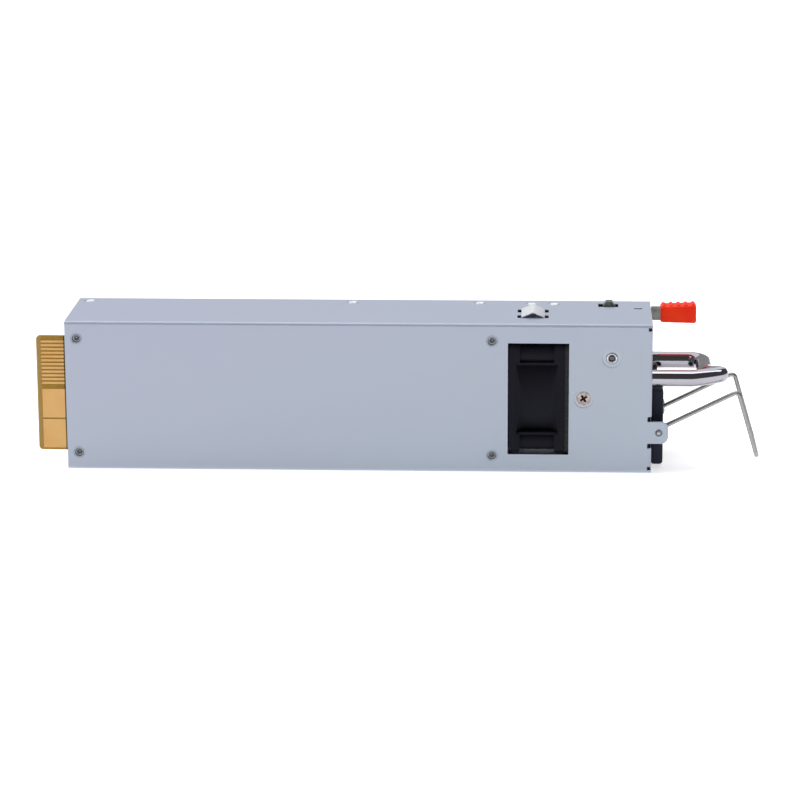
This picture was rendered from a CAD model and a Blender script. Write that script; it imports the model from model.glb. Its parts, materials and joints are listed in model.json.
# %% [markdown]
# # A hot swap server power supply, dressed in Blender
# The model comes in as a frame of named metal, plastic and board parts, already at their
# true sizes. Everything below adds what a lens would see: drawn wire, polished chrome,
# moulded ribs, screw recesses, and a finish for every surface.

# %% Load the frame
import bpy
import json
import math
from mathutils import Matrix, Vector


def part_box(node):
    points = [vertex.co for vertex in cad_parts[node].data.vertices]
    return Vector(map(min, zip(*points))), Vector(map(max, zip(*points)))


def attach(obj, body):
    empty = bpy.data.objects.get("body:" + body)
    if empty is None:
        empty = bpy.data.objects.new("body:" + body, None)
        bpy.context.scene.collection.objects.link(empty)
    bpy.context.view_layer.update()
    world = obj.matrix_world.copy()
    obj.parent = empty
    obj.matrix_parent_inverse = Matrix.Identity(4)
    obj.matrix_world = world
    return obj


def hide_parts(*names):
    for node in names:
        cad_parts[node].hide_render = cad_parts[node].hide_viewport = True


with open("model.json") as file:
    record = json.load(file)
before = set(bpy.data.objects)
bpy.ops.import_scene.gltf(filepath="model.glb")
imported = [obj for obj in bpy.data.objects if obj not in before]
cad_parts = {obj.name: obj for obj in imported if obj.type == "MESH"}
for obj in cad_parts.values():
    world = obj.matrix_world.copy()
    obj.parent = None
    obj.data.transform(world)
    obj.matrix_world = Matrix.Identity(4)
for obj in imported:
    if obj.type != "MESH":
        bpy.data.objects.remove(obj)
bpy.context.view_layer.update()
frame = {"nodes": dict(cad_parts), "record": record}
MM = 0.001

# %% [markdown]
# ## Camera
# A long lens far from the object keeps the long casing's edges nearly parallel. The
# camera stands a little to the right of the middle and looks down by about 14 degrees,
# with a quarter of a degree of roll. Turning a matrix built from three directions is exact,
# while aiming with a constraint would lose the roll.

# %% Camera
target = Vector((14.14, 0.0, 21.49)) * MM
distance = 1.15813
turn, rise, roll = (math.radians(a) for a in (2.79, 13.89, -0.24))
back = Vector((math.sin(turn) * math.cos(rise), -math.cos(turn) * math.cos(rise), math.sin(rise)))
level = Vector((math.cos(turn), math.sin(turn), 0.0))
upright = back.cross(level)
side = level * math.cos(roll) + upright * math.sin(roll)
top = upright * math.cos(roll) - level * math.sin(roll)

bpy.ops.object.camera_add()
camera = bpy.context.object
camera.name = "camera"
camera.data.lens = 143.13
camera.data.sensor_width = 36.0
camera.matrix_world = (Matrix.Translation(target + back * distance)
                       @ Matrix((side, top, back)).transposed().to_4x4())
bpy.context.scene.camera = camera
print("camera stands at", [round(v, 3) for v in camera.location])

# %% [markdown]
# ## Arithmetic for finishes
# A finish is a graph of small nodes. Writing one by hand takes many lines, so a socket is
# wrapped in a class whose plus, minus and times add Math nodes. Colours pass through Mix
# nodes, because a Math node would turn them grey. Any other node is added by one method,
# which takes its kind, its settings and then its inputs, and the sky uses the same one.

# %% A number that varies from place to place
class Value:
    """One output socket of a graph, with arithmetic."""

    def __init__(self, graph, socket):
        self.graph = graph
        self.socket = socket

    def math(self, operation, first, second):
        return self.graph.node("ShaderNodeMath", {"operation": operation}, first, second)

    def __add__(self, other):
        return self.math("ADD", self, other)

    def __sub__(self, other):
        return self.math("SUBTRACT", self, other)

    def __rsub__(self, other):
        return self.math("SUBTRACT", other, self)

    def __mul__(self, other):
        return self.math("MULTIPLY", self, other)

    __radd__ = __add__
    __rmul__ = __mul__

    def above(self, edge, softness):
        """0 below the edge and 1 above it, with a soft step between."""
        low, high = edge - softness / 2, edge + softness / 2
        return self.graph.node("ShaderNodeMapRange", {"interpolation_type": "SMOOTHSTEP"},
                               self, low, high, 0.0, 1.0)


# %% A graph of nodes
class Graph:
    """A node tree, and short ways to add to it."""

    def __init__(self, tree, place):
        self.tree = tree
        self.place = self.node("ShaderNodeTexCoord", {}, out=place)

    def link(self, value, socket):
        """Feeds a socket from a node, or sets it to a number, a colour or a vector."""
        if isinstance(value, Value):
            self.tree.links.new(value.socket, socket)
        elif value is not None:
            is_colour = socket.type == "RGBA"
            socket.default_value = (*value, 1.0) if is_colour else value

    def node(self, kind, settings, *values, out=0):
        """Adds one node: its settings first, then the values or links of its sockets."""
        made = self.tree.nodes.new(kind)
        for setting, value in settings.items():
            setattr(made, setting, value)
        for socket, value in zip(made.inputs, values):
            self.link(value, socket)
        return Value(self, made.outputs[out])

    def axis(self, name):
        """One coordinate of the place."""
        return self.node("ShaderNodeSeparateXYZ", {}, self.place, out="XYZ".index(name))

    def blend(self, mask, low, high):
        """One colour where the mask is 0 and another where it is 1."""
        mix = self.tree.nodes.new("ShaderNodeMix")
        mix.data_type = "RGBA"
        for socket, value in zip((mix.inputs[0], mix.inputs[6], mix.inputs[7]), (mask, low, high)):
            self.link(value, socket)
        return Value(self, mix.outputs[2])


# %% A finish
class Finish(Graph):
    """A material with one shader; constants go on the shader's own sockets."""

    def __init__(self, name, **constants):
        self.material = bpy.data.materials.new(name)
        self.material.use_nodes = True
        super().__init__(self.material.node_tree, "Object")
        self.shader = self.tree.nodes["Principled BSDF"]
        for socket, value in constants.items():
            self.shader.inputs[socket.replace("_", " ")].default_value = value

    def noise(self, scale, detail=2.0, rough=0.5, stretch=(1, 1, 1)):
        """Soft random clouds, `scale` of them to a metre, stretched along each axis."""
        where = self.vector("MULTIPLY", self.place, stretch)
        return self.node("ShaderNodeTexNoise", {}, where, None, scale, detail, rough)

    def spots(self, scale):
        """Distance to the nearest of many scattered points."""
        return self.node("ShaderNodeTexVoronoi", {}, self.place, None, scale)

    def vector(self, operation, *values):
        """A sum, difference or the like of whole vectors."""
        return self.node("ShaderNodeVectorMath", {"operation": operation}, *values)

    def varies(self, socket, value):
        """Feeds one of the shader's sockets from a node."""
        self.link(value, self.shader.inputs[socket])
        return self

    def bumps(self, height, depth, strength=1.0):
        """Feeds Normal from a height, with its depth in metres."""
        made = self.tree.nodes.new("ShaderNodeBump")
        for name, value in (("Strength", strength), ("Distance", depth), ("Height", height)):
            self.link(value, made.inputs[name])
        return self.varies("Normal", Value(self, made.outputs[0]))


print("finish kit ready")

# %% [markdown]
# ## Plated and polished metals
# The casing is thin steel with a passivated zinc coat: a soft satin grey that drifts
# between blue and violet, with a fine rolled grain. Where the sheet was punched, the bare
# cut edge is much darker; it is found by how deep a place lies under the outer faces.
# Chrome has almost no colour or roughness of its own, so only faint marks are added.

# %% Zinc, steel and chrome
def depth_in_casing(f):
    """How far a place lies under the casing's outer faces, bends included, in metres."""
    middle, half, bend = (0.0, 0.0, 0.02725), (0.105, 0.020, 0.02725), 0.0012
    inner = tuple(v - bend for v in half)
    across = f.vector("ABSOLUTE", f.vector("SUBTRACT", f.place, middle))
    beyond = f.vector("SUBTRACT", across, inner)
    x, y, z = (f.node("ShaderNodeSeparateXYZ", {}, beyond, out=i) for i in range(3))
    nearest = x.math("MAXIMUM", x.math("MAXIMUM", x, y), z)
    outside = f.node("ShaderNodeVectorMath", {"operation": "LENGTH"},
                     f.vector("MAXIMUM", beyond, (0.0, 0.0, 0.0)), out=1)
    return bend - outside - nearest.math("MINIMUM", nearest, 0.0)


def soiled(f, clean, dirty, start, end=0.003):
    """The clean colour, but dirty in recesses between two depths under the outer faces."""
    depth = depth_in_casing(f)
    return f.blend(depth.above(start, 0.0004) * (1.0 - depth.above(end, 0.0004)), clean, dirty)


def zinc_steel():
    f = Finish("zinc_plated_steel", Metallic=0.55)
    cloud = f.noise(11, 2.0)
    drift = f.axis("X") * 1.5 + f.axis("Z") * -6.0 + cloud * 0.9
    grain = f.noise(2600, 2.0, 0.6, (0.18, 1, 1))
    tone = f.blend(drift.above(0.25, 0.8), (0.492, 0.522, 0.622), (0.472, 0.521, 0.598))
    plated = f.blend(grain.above(0.5, 0.6) * 0.25, tone, (0.52, 0.55, 0.62))
    depth = depth_in_casing(f)
    pressed = depth.above(0.00005, 0.00004) * 0.15
    cut = depth.above(0.00032, 0.00008) * (1.0 - depth.above(0.00095, 0.00004))
    plated = f.blend(pressed, plated, (0.72, 0.75, 0.84))
    f.varies("Base Color", f.blend(cut, plated, (0.030, 0.031, 0.038)))
    f.varies("Roughness", 0.50 + grain * 0.10)
    return f.bumps(grain, 0.00001, 0.3)


def bright_steel():
    f = Finish("bright_plated_steel", Metallic=0.9)
    grain = f.noise(1800, 2.0)
    clean = f.blend(grain, (0.62, 0.62, 0.63), (0.82, 0.82, 0.84))
    f.varies("Base Color", soiled(f, clean, (0.36, 0.37, 0.40), 0.0005))
    f.varies("Roughness", 0.24 + grain * 0.16)
    return f.bumps(grain, 0.00001, 0.4)


def tin_plate():
    f = Finish("tin_plated_spring", Metallic=0.25)
    grain = f.noise(1300, 2.0)
    f.varies("Base Color", f.blend(grain, (0.88, 0.88, 0.90), (0.97, 0.97, 0.98)))
    f.varies("Roughness", 0.30 + grain * 0.14)
    return f.bumps(grain, 0.00001, 0.4)


def stud_steel():
    f = Finish("dull_plated_stud", Metallic=0.9)
    grain = f.noise(1500, 2.0)
    clean = f.blend(grain, (0.50, 0.50, 0.51), (0.62, 0.62, 0.64))
    f.varies("Base Color", soiled(f, clean, (0.10, 0.10, 0.11), 0.0006))
    f.varies("Roughness", 0.16 + grain * 0.12)
    return f.bumps(grain, 0.00001, 0.4)


def spring_wire():
    f = Finish("drawn_spring_wire", Metallic=0.85)
    grain = f.noise(900, 3.0, 0.6)
    f.varies("Base Color", f.blend(grain, (0.29, 0.29, 0.275), (0.45, 0.45, 0.43)))
    f.varies("Roughness", 0.28 + grain * 0.16)
    return f.bumps(grain, 0.00002, 0.5)


def latch_steel():
    f = Finish("dull_stainless_sheet", Metallic=0.85)
    grain = f.noise(1400, 2.0, 0.5, (0.2, 1, 1))
    stain = f.noise(420, 2.0)
    tone = f.blend(stain.above(0.5, 0.3), (0.10, 0.10, 0.09), (0.23, 0.23, 0.205))
    f.varies("Base Color", f.blend(grain * 0.5, tone, (0.27, 0.27, 0.24)))
    f.varies("Roughness", 0.30 + grain * 0.14)
    return f.bumps(grain, 0.00001, 0.5)


def chrome():
    f = Finish("polished_chrome", Metallic=1.0)
    smudge = f.noise(90, 4.0, 0.6)
    f.varies("Base Color", f.blend(smudge, (0.36, 0.345, 0.38), (0.42, 0.405, 0.44)))
    return f.varies("Roughness", 0.03 + smudge.above(0.55, 0.3) * 0.05)


def brass_zinc():
    f = Finish("yellow_zinc_screw", Metallic=0.85)
    film = f.noise(900, 3.0, 0.6)
    clean = f.blend(film.above(0.5, 0.4), (0.30, 0.23, 0.20), (0.52, 0.46, 0.43))
    f.varies("Base Color", soiled(f, clean, (0.03, 0.022, 0.016), 0.0005))
    f.varies("Roughness", 0.28 + film * 0.2)
    return f.bumps(film, 0.00002, 0.6)


# %% [markdown]
# ## Board, gold and winding finishes
# The edge connector is glass laminate with thick gold-plated contacts. Gold keeps fine
# wipe marks along the direction it is pushed in, so its noise is stretched along X. Inside
# the casing the laminate is under a green mask, which starts just behind the panel.

# %% Board, gold and copper
def circuit_board():
    f = Finish("glass_laminate_board", Roughness=0.42, Specular_IOR_Level=0.2)
    margin, panel, mask_start = -0.1146, -0.1064, -0.1046
    weave = f.noise(1900, 2.0, 0.5, (0.5, 1, 1))
    bare = f.blend(weave, (0.33, 0.17, 0.016), (0.46, 0.25, 0.034))
    bare = f.blend(f.axis("X").above(margin, 0.0008), (0.42, 0.26, 0.07), bare)
    mask = f.blend(weave, (0.008, 0.055, 0.018), (0.014, 0.085, 0.03))
    solder_edge = f.blend(f.axis("X").above(mask_start, 0.0003), (0.05, 0.035, 0.012), mask)
    f.varies("Base Color", f.blend(f.axis("X").above(panel, 0.0004), bare, solder_edge))
    return f.bumps(weave, 0.00002, 0.5)


def gold():
    f = Finish("gold_plate", Metallic=0.9)
    wipe = f.noise(2400, 3.0, 0.6, (0.06, 1, 1))
    tone = f.noise(160, 1.0)
    plate = f.blend(tone, (0.54, 0.292, 0.092), (0.625, 0.385, 0.16))
    f.varies("Base Color", f.blend(f.axis("X").above(-0.1063, 0.0004), plate, (0.07, 0.05, 0.02)))
    f.varies("Roughness", 0.26 + wipe * 0.18)
    return f.bumps(wipe, 0.00001, 0.4)


def copper():
    f = Finish("tinned_copper", Metallic=0.95)
    tin = f.noise(260, 3.0)
    f.varies("Base Color", f.blend(tin.above(0.52, 0.2), (0.72, 0.30, 0.16), (0.62, 0.56, 0.50)))
    return f.varies("Roughness", 0.25 + tin * 0.2)


def winding():
    f = Finish("enamelled_winding", Roughness=0.35)
    turns = f.node("ShaderNodeTexWave", {"bands_direction": "X", "wave_profile": "SIN"},
                   f.place, 160.0, 0.4, 1.0, 1.0)
    f.varies("Base Color", f.blend(turns, (0.20, 0.055, 0.012), (0.55, 0.22, 0.05)))
    return f.bumps(turns, 0.0003)


# %% [markdown]
# ## Plastics and small parts
# Moulded black plastic is a dark satin with a fine spark-eroded texture. The inlet's resin
# is a little greyer than the fan's. The orange grip is smoother and glossier, and its
# colour deepens a little where the resin flowed. Its pigment is fluorescent, so it gives
# back slightly more light than it receives.

# %% Plastics
def black_plastic():
    f = Finish("moulded_black_plastic", Specular_IOR_Level=0.03)
    skin = f.noise(3200, 2.0)
    inlet = f.blend(skin, (0.026, 0.027, 0.040), (0.038, 0.039, 0.056))
    fan = f.blend(skin, (0.0110, 0.0110, 0.0155), (0.0165, 0.0165, 0.0230))
    f.varies("Base Color", f.blend(f.axis("X").above(0.090, 0.002), fan, inlet))
    f.varies("Roughness", 0.34 + skin * 0.2)
    return f.bumps(skin, 0.00002, 0.5)


def orange_plastic():
    f = Finish("moulded_orange_grip", Specular_IOR_Level=0.12, Emission_Strength=0.16,
               Emission_Color=(1.0, 0.035, 0.005, 1.0))
    flow = f.noise(170, 2.0)
    skin = f.noise(2800, 2.0)
    pigment = f.blend(flow.above(0.5, 0.5), (0.86, 0.020, 0.005), (0.96, 0.045, 0.006))
    f.varies("Base Color", pigment)
    f.varies("Roughness", 0.34 + skin * 0.12)
    return f.bumps(skin, 0.00001, 0.4)


def lamp_lens():
    f = Finish("smoked_lamp_lens", Roughness=0.08, Coat_Weight=0.6)
    depth = f.noise(500, 1.0)
    return f.varies("Base Color", f.blend(depth, (0.010, 0.012, 0.012), (0.03, 0.036, 0.034)))


# %% Insulation, foam and magnetic parts
def speckled(name, dark, light, scale, rough, metal=0.0, depth=0.00002):
    f = Finish(name, Metallic=metal)
    fleck = f.noise(scale, 3.0, 0.6)
    f.varies("Base Color", f.blend(fleck, dark, light))
    f.varies("Roughness", rough + fleck * 0.2)
    return f.bumps(fleck, depth, 0.5)


def black_foam():
    f = Finish("open_cell_foam", Roughness=0.9)
    cells = f.spots(2200)
    f.varies("Base Color", f.blend(cells, (0.004, 0.004, 0.004), (0.03, 0.03, 0.03)))
    return f.bumps(cells, 0.0002, 0.6)


finishes = {
    "zinc_steel": zinc_steel(),
    "bright_steel": bright_steel(),
    "tin_plate": tin_plate(),
    "stud_steel": stud_steel(),
    "spring_wire": spring_wire(),
    "latch_steel": latch_steel(),
    "chrome": chrome(),
    "brass_zinc": brass_zinc(),
    "circuit_board": circuit_board(),
    "gold": gold(),
    "copper": copper(),
    "winding": winding(),
    "black_plastic": black_plastic(),
    "orange_plastic": orange_plastic(),
    "lamp_lens": lamp_lens(),
    "black_foam": black_foam(),
    "insulation": speckled("insulating_film", (0.62, 0.60, 0.50), (0.74, 0.72, 0.63), 900, 0.4),
    "ferrite": speckled("sintered_ferrite", (0.02, 0.02, 0.024), (0.05, 0.05, 0.055), 2200, 0.5),
    "capacitor_sleeve": speckled("capacitor_sleeve", (0.012, 0.014, 0.03), (0.02, 0.024, 0.05),
                                 400, 0.2),
    "film_capacitor": speckled("film_capacitor_box", (0.62, 0.38, 0.04), (0.75, 0.50, 0.07),
                               600, 0.3),
    "aluminium": speckled("extruded_aluminium", (0.52, 0.52, 0.54), (0.68, 0.68, 0.70),
                          1500, 0.3, 0.95),
    "ceramic": speckled("fuse_ceramic", (0.70, 0.68, 0.62), (0.82, 0.80, 0.75), 1200, 0.35),
}
print(len(finishes), "finishes")

# %% Dress the frame's own parts
for part in frame["record"]["subparts"]:
    node = frame["nodes"][part["node"]]
    node.data.materials.clear()
    node.data.materials.append(finishes[part["material_slot"]].material)
print(len(frame["nodes"]), "parts dressed")

# %% [markdown]
# ## Broken edges
# A cut edge of sheet or laminate is never quite sharp: it holds a thin line of light. A
# small bevel modifier gives the frame's own parts that line without touching their form.

# %% Thin bevels on the frame's own parts
for name, width in (("case_tray", 0.10), ("case_cover", 0.10), ("latch_lever", 0.10),
                    ("main_board", 0.08), ("intake_panel", 0.08)):
    bevel = frame["nodes"][name].modifiers.new("broken_edge", "BEVEL")
    bevel.width = width * MM
    bevel.segments = 2
    bevel.limit_method = "ANGLE"
    bevel.angle_limit = math.radians(50)
    bevel.use_clamp_overlap = True
print("edges broken")

# %% [markdown]
# ## Bench helpers
# Each new piece starts from one primitive. Blender's operators act on whatever is
# selected, so everything is let go first, and faces or edges are then picked by place.

# %% Bench helpers: start a piece
def clear_bench():
    if bpy.context.mode != "OBJECT":
        bpy.ops.object.mode_set(mode="OBJECT")
    bpy.ops.object.select_all(action="DESELECT")


def hold(piece):
    """Makes one piece the only selected one."""
    clear_bench()
    piece.select_set(True)
    bpy.context.view_layer.objects.active = piece


def settle(name):
    """Names the new primitive and moves its place into its mesh."""
    piece = bpy.context.object
    piece.name = name
    piece.data.name = name
    bpy.ops.object.transform_apply(location=True, rotation=True, scale=True)
    return piece


def block(name, low, high):
    """A box between two corners."""
    clear_bench()
    low, high = Vector(low), Vector(high)
    bpy.ops.mesh.primitive_cube_add(size=1.0, location=(low + high) / 2, scale=high - low)
    return settle(name)


def facing(direction):
    """Turn that points a primitive's own Z along a direction."""
    return Vector(direction).to_track_quat("Z", "Y").to_euler()


def drum(name, radius, start, end, sides=48):
    """A closed cylinder between two points."""
    clear_bench()
    start, end = Vector(start), Vector(end)
    bpy.ops.mesh.primitive_cylinder_add(vertices=sides, radius=radius, depth=(end - start).length,
                                        location=(start + end) / 2, rotation=facing(end - start))
    return settle(name)


def copied(piece, name, shift):
    """A copy of a finished form, with its own mesh, moved by a shift."""
    hold(piece)
    bpy.ops.object.duplicate()
    bpy.ops.transform.translate(value=shift)
    return settle(name)


# %% Bench helpers: shape a piece
def pick(piece, kind, test):
    """Selects the vertices, edges or faces whose middle passes a test, and enters edit mode."""
    hold(piece)
    bpy.ops.object.mode_set(mode="EDIT")
    bpy.ops.mesh.select_mode(type=kind)
    bpy.ops.mesh.select_all(action="DESELECT")
    bpy.ops.object.mode_set(mode="OBJECT")
    mesh = piece.data
    if kind == "VERT":
        for v in mesh.vertices:
            v.select = test(v.co)
    elif kind == "EDGE":
        for e in mesh.edges:
            a, b = (mesh.vertices[i].co for i in e.vertices)
            e.select = test((a + b) / 2, b - a)
    else:
        for f in mesh.polygons:
            f.select = test(f.center, f.normal)
    bpy.ops.object.mode_set(mode="EDIT")


def bevel_edges(piece, width, segments, test):
    """Bevels the edges that pass a test."""
    pick(piece, "EDGE", test)
    bpy.ops.mesh.bevel(offset=width, segments=segments)
    bpy.ops.object.mode_set(mode="OBJECT")


def push_points(piece, shift, test):
    """Moves the vertices that pass a test."""
    pick(piece, "VERT", test)
    bpy.ops.transform.translate(value=shift)
    bpy.ops.object.mode_set(mode="OBJECT")


def modify(piece, kind, **settings):
    """Adds one modifier and applies it."""
    hold(piece)
    modifier = piece.modifiers.new(kind.lower(), kind)
    for setting, value in settings.items():
        setattr(modifier, setting, value)
    bpy.ops.object.modifier_apply(modifier=modifier.name)
    return piece


def combine(piece, tool, operation):
    """Adds a closed form to the piece, takes it out of it, or keeps what both share."""
    modify(piece, "BOOLEAN", operation=operation, object=tool, solver="EXACT")
    bpy.data.objects.remove(tool)
    return piece


def soften(piece, width, segments=3, angle=40):
    """Rounds the piece's sharp edges."""
    return modify(piece, "BEVEL", width=width, segments=segments, limit_method="ANGLE",
                  angle_limit=math.radians(angle), harden_normals=False)


def finish_piece(piece, body, slot, *nodes, angle=35):
    """Shades the piece, gives it its finish, and hangs it on its body."""
    hold(piece)
    bpy.ops.object.mode_set(mode="EDIT")
    bpy.ops.mesh.select_all(action="SELECT")
    bpy.ops.mesh.normals_make_consistent(inside=False)
    bpy.ops.object.mode_set(mode="OBJECT")
    bpy.ops.object.shade_smooth_by_angle(angle=math.radians(angle))
    piece.data.materials.clear()
    piece.data.materials.append(finishes[slot].material)
    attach(piece, body)
    if nodes:
        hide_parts(*nodes)
    print(piece.name, len(piece.data.polygons), "faces")
    return piece


def corners(node):
    """Lowest and highest corner of a part of the frame, and its middle."""
    low, high = (Vector(v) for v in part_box(node))
    return low, high, (low + high) / 2


inlet_proud = 4.4 * MM
near_y = corners("case_tray")[0].y
far_y = corners("case_cover")[1].y
end_x = corners("mains_inlet")[1].x - inlet_proud
top_z = 54.5 * MM
print("casing is", round((far_y - near_y) / MM, 1), "mm deep")


# %% [markdown]
# ## Pull handle
# The handle is a chromed rod bent to a U, with a rounded toe drawn out of its near
# corner. A ring is extruded along each straight and spun round each bend, as the rod is
# bent in the works, and the toe is then pulled out with a soft falloff.

# %% A rod along straights and bends
def bent_rod(name, points, bend, radius, sides=40, steps=14, cuts=1):
    """Extrudes a ring along the straights and spins it round the bends between them."""
    clear_bench()
    first = (points[1] - points[0]).normalized()
    bpy.ops.mesh.primitive_circle_add(vertices=sides, radius=radius, fill_type="NOTHING",
                                      location=points[0], rotation=facing(first))
    piece = settle(name)
    bpy.ops.object.mode_set(mode="EDIT")
    bpy.ops.mesh.select_all(action="SELECT")
    start = points[0]
    for before, corner, after in zip(points, points[1:], points[2:]):
        into = (corner - before).normalized()
        out = (after - corner).normalized()
        angle = into.angle(out)
        arc_start = corner - into * bend * math.tan(angle / 2)
        for _ in range(cuts):
            bpy.ops.mesh.extrude_region_move(
                TRANSFORM_OT_translate={"value": (arc_start - start) / cuts})
        axis = into.cross(out).normalized()
        centre = arc_start + axis.cross(into) * bend
        bpy.ops.mesh.spin(steps=steps, angle=-angle, center=centre, axis=axis)
        start = corner + out * bend * math.tan(angle / 2)
    for _ in range(cuts):
        bpy.ops.mesh.extrude_region_move(
            TRANSFORM_OT_translate={"value": (points[-1] - start) / cuts})
    bpy.ops.mesh.edge_face_add()
    pick(piece, "EDGE", lambda m, d: (m - points[0]).length < radius * 1.01)
    bpy.ops.mesh.edge_face_add()
    bpy.ops.object.mode_set(mode="OBJECT")
    return piece


# %% Pull handle
handle_high = corners("pull_handle")[1]
handle_z = corners("handle_screws")[2].z
handle_reach = 22.45 * MM
rod = 3.0 * MM
arm_y = handle_high.y - rod
bar_x = end_x + handle_reach - rod
handle_line = [Vector((end_x, -arm_y, handle_z)), Vector((bar_x, -arm_y, handle_z)),
               Vector((bar_x, arm_y, handle_z)), Vector((end_x, arm_y, handle_z))]
handle = bent_rod("pull_handle_rod", handle_line, 6.0 * MM, rod, sides=48, steps=24, cuts=6)

toe = Vector((bar_x + 1.0 * MM, -arm_y - 1.0 * MM, handle_z))
pick(handle, "VERT", lambda p: p.x > bar_x + 0.2 * MM and p.y < -arm_y + 2.0 * MM
     and (p - toe).length < 4.2 * MM)
bpy.ops.transform.translate(value=(6.0 * MM, 0.4 * MM, 0.9 * MM), use_proportional_edit=True,
                            proportional_edit_falloff="SMOOTH", proportional_size=6.0 * MM)
bpy.ops.object.mode_set(mode="OBJECT")
reach = max(v.co.x for v in handle.data.vertices)
print("toe reaches", round(reach / MM, 2), "of", round(handle_high.x / MM, 2))
finish_piece(handle, "casing", "chrome", "pull_handle", angle=50)

# %% [markdown]
# ## Wire bail
# The bail is 1.6 mm spring wire. It clips into both ears, rises over the plug and hooks
# down in front of it. The same bent-rod helper draws it, with tighter bends.

# %% Wire bail
bail_low, bail_high, _ = corners("wire_bail")
wire = 0.8 * MM
tip_drop = 9.6
pivot = Vector((bail_low.x + wire, 0.0, bail_low.z + wire + tip_drop * MM))
rise_to = pivot + Vector((28.35, 0.0, 14.15)) * MM
drop_to = pivot + Vector((35.35, 0.0, -tip_drop)) * MM
across = Vector((0.0, arm_y, 0.0))
pin = Vector((0.0, bail_high.y - 0.01 * MM, 0.0))
bail_line = [pivot - pin, pivot - across, rise_to - across, drop_to - across,
             drop_to + across, rise_to + across, pivot + across, pivot + pin]
bail = bent_rod("wire_bail_loop", bail_line, 1.6 * MM, wire, sides=20, steps=10)
bevel_edges(bail, 0.25 * MM, 3, lambda m, d: abs(m.y) > pin.y - 0.01 * MM)
finish_piece(bail, "retainer_bail", "spring_wire", "wire_bail", angle=50)

# %% [markdown]
# ## Release grip
# The grip is a soft-looking orange moulding pushed over the lever. Its body is a box that
# flares towards its free end, and its ribs are rods laid across the top. A fine remesh and
# a little smoothing melt them together, which is how a moulding's corners look.

# %% Release grip
grip_low, grip_high, _ = corners("release_grip")
rib = 0.75 * MM
proud = 0.5 * MM
flare = 0.5 * MM
flare_below = 0.3 * MM
free_top = grip_high.z - proud
grip = block("release_grip_moulding", grip_low + Vector((0, 0, flare_below)),
             (grip_high.x, grip_high.y, free_top - flare))
grip_mid_z = (grip_low.z + free_top) / 2
push_points(grip, (0, 0, flare), lambda p: p.x > grip_low.x + rib and p.z > grip_mid_z)
push_points(grip, (0, 0, -flare_below), lambda p: p.x > grip_low.x + rib and p.z < grip_mid_z)
soften(grip, 0.8 * MM, 4)
inset = 1.15 * MM
rib_end = 0.7 * MM
rib_count = 5
grip_length = grip_high.x - grip_low.x
for index in range(rib_count):
    along = inset + index * (grip_length - 2 * inset) / (rib_count - 1)
    x = grip_low.x + along
    z = free_top - flare + flare * along / grip_length + proud - rib
    bar = drum("rib", rib, (x, grip_low.y + rib_end, z), (x, grip_high.y - rib_end, z), 24)
    soften(bar, 0.3 * MM, 3)
    combine(grip, bar, "UNION")
modify(grip, "REMESH", mode="VOXEL", voxel_size=0.14 * MM)
modify(grip, "SMOOTH", factor=0.5, iterations=3)
finish_piece(grip, "release_latch", "orange_plastic", "release_grip", angle=60)


# %% [markdown]
# ## Turned parts
# Small turned parts are grown ring by ring from an outline of radius and depth, as on a
# lathe. A cross recess is the space that two tapered bars take out of the head.

# %% A turned part, and its cross recess
def lathe(name, outline, origin, direction, steps=40):
    """Grows rings by extrude and resize, one for each (radius, depth) step in millimetres."""
    clear_bench()
    axis = Vector(direction).normalized()
    origin = Vector(origin)
    radius, depth = outline[0]
    bpy.ops.mesh.primitive_circle_add(vertices=steps, radius=radius * MM, fill_type="NGON",
                                      location=origin + axis * depth * MM, rotation=facing(axis))
    piece = settle(name)
    bpy.ops.object.mode_set(mode="EDIT")
    bpy.ops.mesh.select_all(action="SELECT")
    for new_radius, new_depth in outline[1:]:
        bpy.ops.mesh.extrude_region_move(
            TRANSFORM_OT_translate={"value": axis * (new_depth - depth) * MM})
        scale = new_radius / radius
        bpy.ops.transform.resize(value=(scale, scale, scale))
        radius, depth = new_radius, new_depth
    bpy.ops.object.mode_set(mode="OBJECT")
    return piece


def cross_recess(piece, origin, direction, reach, width, depth, angle=0.0):
    """Cuts a cross recess, in millimetres, into a head whose face passes through the origin."""
    for quarter in (0.0, 90.0):
        clear_bench()
        bpy.ops.mesh.primitive_cube_add(
            size=1.0, scale=(2 * reach * MM, width * MM, 2 * depth * MM))
        bar = settle("recess_bar")
        pick(bar, "FACE", lambda c, n: n.z < -0.5)
        bpy.ops.transform.resize(value=(0.35, 0.7, 1.0))
        bpy.ops.object.mode_set(mode="OBJECT")
        bar.matrix_world = (Matrix.Translation(origin)
                            @ Vector(direction).to_track_quat("Z", "Y").to_matrix().to_4x4()
                            @ Matrix.Rotation(math.radians(angle + quarter), 4, "Z"))
        combine(piece, bar, "DIFFERENCE")
    return piece


# %% [markdown]
# ## Screws of the casing
# The fan bracket's screw has a yellow zinc coat and sits in a shallow dimple. The six
# cover screws are bright and dished, so each shows as a pale ring. The dish and the ring
# are steps in the outline.

# %% Fan bracket screw
_, _, screw_mid = corners("bracket_screw")
screw_face = Vector((screw_mid.x, near_y, screw_mid.z))
outline = [(2.0, 0.10), (2.35, 0.03), (2.5, 0.05), (2.57, 0.16),
           (1.48, 1.25), (1.48, 5.2), (1.2, 5.5)]
bracket_screw = lathe("fan_bracket_screw", outline, screw_face, (0, 1, 0))
cross_recess(bracket_screw, screw_face, (0, -1, 0), reach=2.2, width=0.95, depth=1.9, angle=33.0)
finish_piece(bracket_screw, "casing", "brass_zinc", "bracket_screw")

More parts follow.
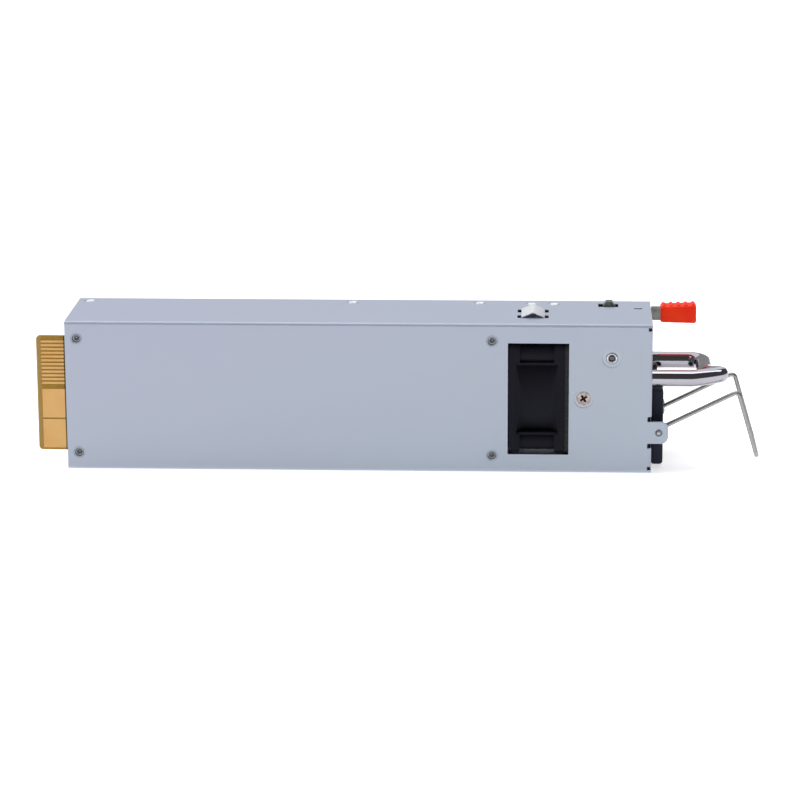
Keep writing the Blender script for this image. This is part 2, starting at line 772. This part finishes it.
# %% Cover screws
screws_low, screws_high, _ = corners("cover_screws")
head_radius = 2.18 * MM
first_to_middle = 96.7 * MM
screw_y = screws_low.y + head_radius
places = [screws_low.x + head_radius, screws_low.x + head_radius + first_to_middle,
          screws_high.x - head_radius]
outline = [(0.9, 0.46), (1.15, 0.44), (1.64, 0.04), (1.78, 0.0), (1.94, 0.01),
           (2.10, 0.16), (2.16, 0.28), (1.22, 1.0), (1.22, 3.7), (1.0, 4.0)]
for level_z, down, label in ((top_z, -1, "top"), (0.0, 1, "bottom")):
    face = Vector((places[0], screw_y, level_z))
    first = lathe("cover_screw_" + label + "_1", outline, face, (0, 0, down), 36)
    cross_recess(first, face, (0, 0, -down), reach=1.2, width=0.5, depth=1.1, angle=20.0)
    for number, x in enumerate(places[1:], 2):
        other = copied(first, "cover_screw_" + label + "_%d" % number, (x - places[0], 0, 0))
        finish_piece(other, "casing", "bright_steel", "cover_screws")
    finish_piece(first, "casing", "bright_steel", "cover_screws")

# %% [markdown]
# ## Latch rivets, standoffs and studs
# Rivets and clinched studs are pressed flush into the sheet. What shows is a ring: the
# dished head of a rivet, the chamfered mouth of a standoff with the tip of a board screw
# deep inside, and the turned face of the earth stud.

# %% Latch rivets
rivets_low, rivets_high, rivets_mid = corners("latch_rivets")
rivet_radius = 2.2 * MM
rivet_face = Vector((rivets_low.x + rivet_radius, rivets_mid.y, top_z))
outline = [(0.8, 0.46), (1.12, 0.44), (1.64, 0.04), (1.78, 0.0), (1.94, 0.01),
           (2.12, 0.16), (2.18, 0.28), (1.2, 1.0), (1.2, 1.8), (1.8, 1.8), (1.8, 2.4), (1.5, 2.6)]
rivet = lathe("latch_rivet_1", outline, rivet_face, (0, 0, -1), 36)
span = rivets_high.x - rivets_low.x - 2 * rivet_radius
second = copied(rivet, "latch_rivet_2", (span, 0, 0))
finish_piece(rivet, "casing", "bright_steel", "latch_rivets")
finish_piece(second, "casing", "bright_steel", "latch_rivets")

# %% Board standoffs
posts_low, posts_high, _ = corners("board_standoffs")
post_length = (posts_high.y - posts_low.y) / MM
post_radius = 2.1 * MM
post_x = (posts_low.x + post_radius, posts_high.x - post_radius)
post_z = (posts_low.z + post_radius, posts_high.z - post_radius)


def at_every_post(first, face, stem, slot, node):
    """Copies the first piece to the other three posts, and finishes all four."""
    places = [(x, z) for x in post_x for z in post_z]
    for number, (x, z) in enumerate(places[1:], 2):
        other = copied(first, stem + "_%d" % number, (x - face.x, 0, z - face.z))
        finish_piece(other, "casing", slot, node)
    finish_piece(first, "casing", slot, node)


face = Vector((post_x[0], near_y, post_z[0]))
post = lathe("board_standoff_1", [(1.98, 0.0), (2.09, 0.12), (2.09, post_length - 0.15),
                                  (1.95, post_length)], face, (0, 1, 0))
bore = lathe("bore", [(1.9, -0.1), (1.72, 0.08), (1.47, 0.34), (1.47, post_length + 1)],
             face, (0, 1, 0))
combine(post, bore, "DIFFERENCE")
at_every_post(post, face, "board_standoff", "zinc_steel", "board_standoffs")

# %% Board screws
head_height = 1.755 * MM
board_y = corners("board_screws")[1].y - head_height
face = Vector((post_x[0], board_y, post_z[0]))
outline = [(1.5, -1.74), (2.3, -1.45), (2.62, -0.9), (2.69, -0.3), (2.69, 0.0), (1.44, 0.0),
           (1.44, 6.3), (1.25, 6.56), (1.05, 6.56), (0.2, 5.7)]
screw = lathe("board_screw_1", outline, face, (0, -1, 0))
cross_recess(screw, face + Vector((0, 1.75 * MM, 0)), (0, 1, 0),
             reach=1.3, width=0.7, depth=1.2, angle=15.0)
at_every_post(screw, face, "board_screw", "bright_steel", "board_screws")

# %% Earth stud
_, _, stud_mid = corners("earth_stud")
face = Vector((stud_mid.x, near_y, stud_mid.z))
outline = [(0.15, 0.8), (0.45, 0.72), (0.7, 0.8), (0.82, 1.15), (1.04, 1.15), (1.16, 0.4),
           (1.3, 0.14), (1.48, 0.02), (1.68, 0.0), (1.86, 0.07), (2.02, 0.24), (2.09, 0.45),
           (2.09, 1.0), (1.5, 1.0), (1.5, 9.7), (1.2, 10.0)]
stud = lathe("earth_stud_face", outline, face, (0, 1, 0))
finish_piece(stud, "casing", "stud_steel", "earth_stud")

# %% [markdown]
# ## Status lamp
# A smoked lens with a domed face, held in a small bezel. Its outline is turned too.

# %% Status lamp
lamp_high, lamp_mid = corners("status_lamp")[1:]
face = Vector((lamp_high.x, lamp_mid.y, lamp_mid.z))
outline = [(0.7, 0.0), (1.35, 0.09), (1.85, 0.33), (2.2, 0.75), (2.36, 1.2), (2.38, 1.6),
           (2.7, 1.6), (2.93, 1.72), (2.98, 1.95), (2.98, 2.4), (2.38, 2.4), (2.38, 5.4)]
lamp = lathe("status_lamp_lens", outline, face, (-1, 0, 0))
finish_piece(lamp, "casing", "lamp_lens", "status_lamp")


# %% [markdown]
# ## Grounding spring
# A strip of springy sheet is folded to a low roof that presses on the neighbouring bay.
# An edge is extruded along the strip's line, and the sheet then gets its thickness. The
# four hooked legs are narrower strips of the same kind.

# %% A folded strip
def strip(name, line, low_y, high_y, thickness):
    """Sheet that follows a line of (x, z) points, in millimetres, between two Y places."""
    clear_bench()
    bpy.ops.mesh.primitive_plane_add(size=1.0)
    piece = settle(name)
    for side, (x, z) in ((-1, line[0]), (1, line[1])):
        for end, y in ((-1, low_y), (1, high_y)):
            push_points(piece, (x * MM - 0.5 * side, y * MM - 0.5 * end, z * MM),
                        lambda p: p.x * side > 0.4 and p.y * end > 0.4 and abs(p.z) < 1e-9)
    for before, after in zip(line[1:], line[2:]):
        here = Vector((before[0], 0, before[1])) * MM
        pick(piece, "EDGE", lambda m, d: (Vector((m.x, 0, m.z)) - here).length < 1e-6
             and abs(d.y) > 0.5 * MM)
        bpy.ops.mesh.extrude_region_move(TRANSFORM_OT_translate={
            "value": ((after[0] - before[0]) * MM, 0, (after[1] - before[1]) * MM)})
        bpy.ops.object.mode_set(mode="OBJECT")
    hold(piece)
    bpy.ops.object.mode_set(mode="EDIT")
    bpy.ops.mesh.select_all(action="SELECT")
    bpy.ops.mesh.normals_make_consistent(inside=False)
    bpy.ops.object.mode_set(mode="OBJECT")
    return modify(piece, "SOLIDIFY", thickness=thickness * MM, offset=0.0)


# %% Grounding spring
clip_low, clip_high, clip_mid = (v / MM for v in corners("grounding_clip"))
half = 0.15
x0, x1, ridge = clip_low.x + half, clip_high.x - half, clip_mid.x
base = 54.55 + half
crest = clip_high.z - half
rise_line = [(x0, base - 0.3), (x0 + 0.03, base - 0.05), (x0 + 0.16, base + 0.13),
             (ridge - 1.5, crest - 0.60), (ridge - 0.95, crest - 0.27),
             (ridge - 0.45, crest - 0.07), (ridge, crest)]
roof_line = rise_line + [(2 * ridge - x, z) for x, z in reversed(rise_line[:-1])]
clip = strip("grounding_spring", roof_line, clip_low.y, clip_high.y, 2 * half)
hook_z = clip_low.z + half
leg_width = 4.4
for inward, x in ((1, x0), (-1, x1)):
    leg_line = [(x, base - 0.25), (x, hook_z + 0.45), (x + inward * 0.12, hook_z + 0.12),
                (x + inward * 0.45, hook_z), (x + inward * 1.4, hook_z)]
    for near in (clip_low.y + 0.3, clip_high.y - 4.7):
        leg = strip("leg", leg_line, near, near + leg_width, 2 * half)
        combine(clip, leg, "UNION")
finish_piece(clip, "casing", "tin_plate", "grounding_clip", angle=50)

# %% [markdown]
# ## Mains inlet
# The inlet is a moulded box with a rounded rim in front of the wall. Its cavity has two
# corners cut off beside the earth pin, so the plug only fits one way round. The three
# flat pins are one bevelled bar and its two copies.

# %% Inlet housing
inlet_low, inlet_high, inlet_mid = corners("mains_inlet")
inlet_z = inlet_mid.z
half_h, half_w = 12.9 * MM, 9.0 * MM
cavity_half_h, cavity_half_w, cavity_depth = 12.1 * MM, 8.2 * MM, 16.5 * MM
inlet = block("inlet_housing", (end_x, inlet_low.y, inlet_low.z), inlet_high)
soften(inlet, 1.2 * MM, 5)
body = block("inlet_body", (inlet_low.x, -half_w, inlet_z - half_h),
             (end_x + 1.0 * MM, half_w, inlet_z + half_h))
soften(body, 0.4 * MM, 2)
combine(inlet, body, "UNION")
for side_y in (-1, 1):
    snap = block("snap", (end_x - 5.2 * MM, side_y * half_w - 0.3 * MM, inlet_z - 4 * MM),
                 (end_x - 1.2 * MM, side_y * half_w + 0.3 * MM, inlet_z + 4 * MM))
    push_points(snap, (0, side_y * 0.9 * MM, 0),
                lambda p: p.x > end_x - 2 * MM and p.y * side_y > half_w)
    combine(inlet, snap, "UNION")
cavity = block("cavity", (inlet_high.x - cavity_depth, -cavity_half_w, inlet_z - cavity_half_h),
               (inlet_high.x + 1.0 * MM, cavity_half_w, inlet_z + cavity_half_h))
bevel_edges(cavity, 4.0 * MM, 1, lambda m, d: abs(d.x) > 5 * MM and m.y > 5 * MM)
bevel_edges(cavity, 0.5 * MM, 3, lambda m, d: abs(d.x) > 5 * MM)
combine(inlet, cavity, "DIFFERENCE")
bevel_edges(inlet, 0.35 * MM, 3,
            lambda m, d: m.x > inlet_high.x - 1e-6 and abs(m.y) < cavity_half_w + 0.1 * MM
            and abs(m.z - inlet_z) < cavity_half_h + 0.1 * MM)
finish_piece(inlet, "casing", "black_plastic", "mains_inlet")

# %% Inlet pins
pins_low, pins_high, _ = corners("inlet_pins")
pin_bar = block("inlet_pin_low", pins_low,
                (pins_high.x, pins_low.y + 4 * MM, pins_low.z + 2 * MM))
bevel_edges(pin_bar, 0.75 * MM, 4, lambda m, d: m.x > pins_high.x - 1e-6)
soften(pin_bar, 0.15 * MM, 2)
for label, shift in (("high", (0, 0, 14)), ("earth", (0, 4, 7))):
    other = copied(pin_bar, "inlet_pin_" + label, Vector(shift) * MM)
    finish_piece(other, "casing", "bright_steel", "inlet_pins")
finish_piece(pin_bar, "casing", "bright_steel", "inlet_pins")

# %% [markdown]
# ## Fan housing
# Behind the window stands the fan's moulded housing: two square flanges, a barrel that
# flares out to them, corner posts and two side ribs. The flares are cut off flat by the
# housing's side, which leaves a curved edge on each flange.

# %% Fan housing
fan_low, fan_high, fan_mid = corners("fan_frame")
flange = 2.5 * MM
thick_flange = 3.9 * MM
corner_round = 2.5 * MM
pad_height = 7.2 * MM
pad_start = 1.5 * MM
screw_places = (-16, 16)
side_half = fan_high.y
housing = block("fan_housing", (fan_low.x, -side_half, fan_low.z),
                (fan_low.x + flange, side_half, fan_high.z))
exhaust = block("exhaust_flange", (fan_high.x - flange, -side_half, fan_low.z), fan_high)
for plate in (housing, exhaust):
    bevel_edges(plate, corner_round, 5, lambda m, d: abs(d.x) > 1 * MM)
    soften(plate, 0.2 * MM, 2)
combine(housing, exhaust, "UNION")
for x in (fan_low.x + pad_start, fan_high.x - thick_flange):
    for z in (fan_low.z, fan_high.z - pad_height):
        pad = block("pad", (x, -side_half, z),
                    (x + thick_flange - pad_start, side_half, z + pad_height))
        bevel_edges(pad, corner_round, 5,
                    lambda m, d: abs(d.x) > 1 * MM and abs(m.z - fan_mid.z) > 15 * MM)
        soften(pad, 0.15 * MM, 2)
        combine(housing, pad, "UNION")
depth = (fan_high.x - fan_low.x) / MM
flare = [(24.0, 2.3), (22.9, 2.6), (21.8, 3.1), (20.8, 3.8), (20.15, 4.5), (19.8, 5.3)]
barrel = lathe("barrel", flare + [(r, depth - d) for r, d in reversed(flare)],
               (fan_low.x, 0, fan_mid.z), (1, 0, 0), 96)
shell = block("shell", (fan_low.x, -side_half + 0.1 * MM, fan_low.z + 0.1 * MM),
              (fan_high.x, side_half - 0.1 * MM, fan_high.z - 0.1 * MM))
combine(barrel, shell, "INTERSECT")
combine(housing, barrel, "UNION")
for y in screw_places:
    for z in screw_places:
        post_at = Vector((0, y * MM, fan_mid.z + z * MM))
        column = drum("column", 3.3 * MM, post_at + Vector((fan_low.x + MM, 0, 0)),
                      post_at + Vector((fan_high.x - MM, 0, 0)), 32)
        combine(housing, column, "UNION")
for z in (-12.8, 12.8):
    ledge = block("ledge", (fan_low.x + MM, -side_half + 0.6 * MM, fan_mid.z + (z - 0.5) * MM),
                  (fan_high.x - MM, side_half - 0.6 * MM, fan_mid.z + (z + 0.5) * MM))
    soften(ledge, 0.15 * MM, 2)
    combine(housing, ledge, "UNION")
print("housing solid:", len(housing.data.polygons), "faces")

# %% Fan bore, screw holes and spider
bore = drum("bore", 19.0 * MM, (fan_low.x - MM, 0, fan_mid.z), (fan_high.x + MM, 0, fan_mid.z), 96)
combine(housing, bore, "DIFFERENCE")
for y in screw_places:
    for z in screw_places:
        at = Vector((0, y * MM, fan_mid.z + z * MM))
        hole = drum("hole", 1.75 * MM, at + Vector((fan_low.x - MM, 0, 0)),
                    at + Vector((fan_high.x + MM, 0, 0)), 32)
        combine(housing, hole, "DIFFERENCE")
seat = drum("seat", 8.2 * MM, (fan_high.x - 2 * MM, 0, fan_mid.z), (fan_high.x, 0, fan_mid.z), 64)
soften(seat, 0.4 * MM, 3)
for k in range(4):
    strut = block("strut", (fan_high.x - 2.4 * MM, 6.0 * MM, -0.8 * MM),
                  (fan_high.x - 0.4 * MM, 19.5 * MM, 0.8 * MM))
    soften(strut, 0.35 * MM, 3)
    strut.matrix_world = (Matrix.Translation((0, 0, fan_mid.z))
                          @ Matrix.Rotation(math.radians(45 + 90 * k), 4, "X"))
    combine(seat, strut, "UNION")
tube = drum("tube", 2.6 * MM, (fan_high.x - 12 * MM, 0, fan_mid.z),
            (fan_high.x - 1 * MM, 0, fan_mid.z), 32)
combine(seat, tube, "UNION")
shaft = drum("shaft", 1.05 * MM, (fan_high.x - 13 * MM, 0, fan_mid.z),
             (fan_high.x - 0.8 * MM, 0, fan_mid.z), 32)
combine(seat, shaft, "DIFFERENCE")
combine(housing, seat, "UNION")
finish_piece(housing, "casing", "black_plastic", "fan_frame")

# %% [markdown]
# ## Stage
# The floor is a plain pale sheet. The sky is brightest high behind the object and dark in
# front and to the right, so the chrome shows bands of white and black. A cool soft box
# overhead draws the bright line along the folded edge.

# %% Floor
clear_bench()
bpy.ops.mesh.primitive_plane_add(size=16.0, location=(0, 0, -0.02 * MM))
floor = settle("studio_floor")
paper = Finish("studio_paper", Roughness=0.9, Specular_IOR_Level=0.1, Emission_Strength=0.60,
               Emission_Color=(1.0, 1.0, 1.0, 1.0))
paper.varies("Base Color", paper.blend(paper.noise(3, 1.0), (0.93, 0.93, 0.93), (0.95, 0.95, 0.95)))
floor.data.materials.append(paper.material)

# %% Light
world = bpy.data.worlds.new("studio_sky")
bpy.context.scene.world = world
world.use_nodes = True
sky = Graph(world.node_tree, "Generated")
height = sky.axis("Z")
in_front = 1.0 - (sky.axis("Y") - sky.axis("X") * 1.1).above(0.0, 0.3)
front_light = 1.0 - height.above(0.03, 0.08) * 0.93
back_light = 0.28 + height.above(0.46, 0.14) * 0.74
light = in_front * front_light + (1.0 - in_front) * back_light
background = world.node_tree.nodes["Background"]
background.inputs["Color"].default_value = (1.0, 1.0, 1.02, 1.0)
sky.link(light * 1.34, background.inputs["Strength"])


def soft_box(name, location, aim, size, power):
    """A rectangular lamp aimed at a point."""
    bpy.ops.object.light_add(type="AREA", location=location)
    lamp = bpy.context.object
    lamp.name = name
    lamp.data.shape = "RECTANGLE"
    lamp.data.size, lamp.data.size_y = size
    lamp.data.energy = power
    lamp.data.color = (0.84, 0.92, 1.0)
    lamp.rotation_euler = (Vector(aim) - Vector(location)).to_track_quat("-Z", "Y").to_euler()
    return lamp


soft_box("overhead_box", (0.0, 0.0, 1.0), (0, 0, 0), (1.4, 0.3), 4.2)
bpy.context.scene.view_settings.view_transform = "Standard"
print("lights set")
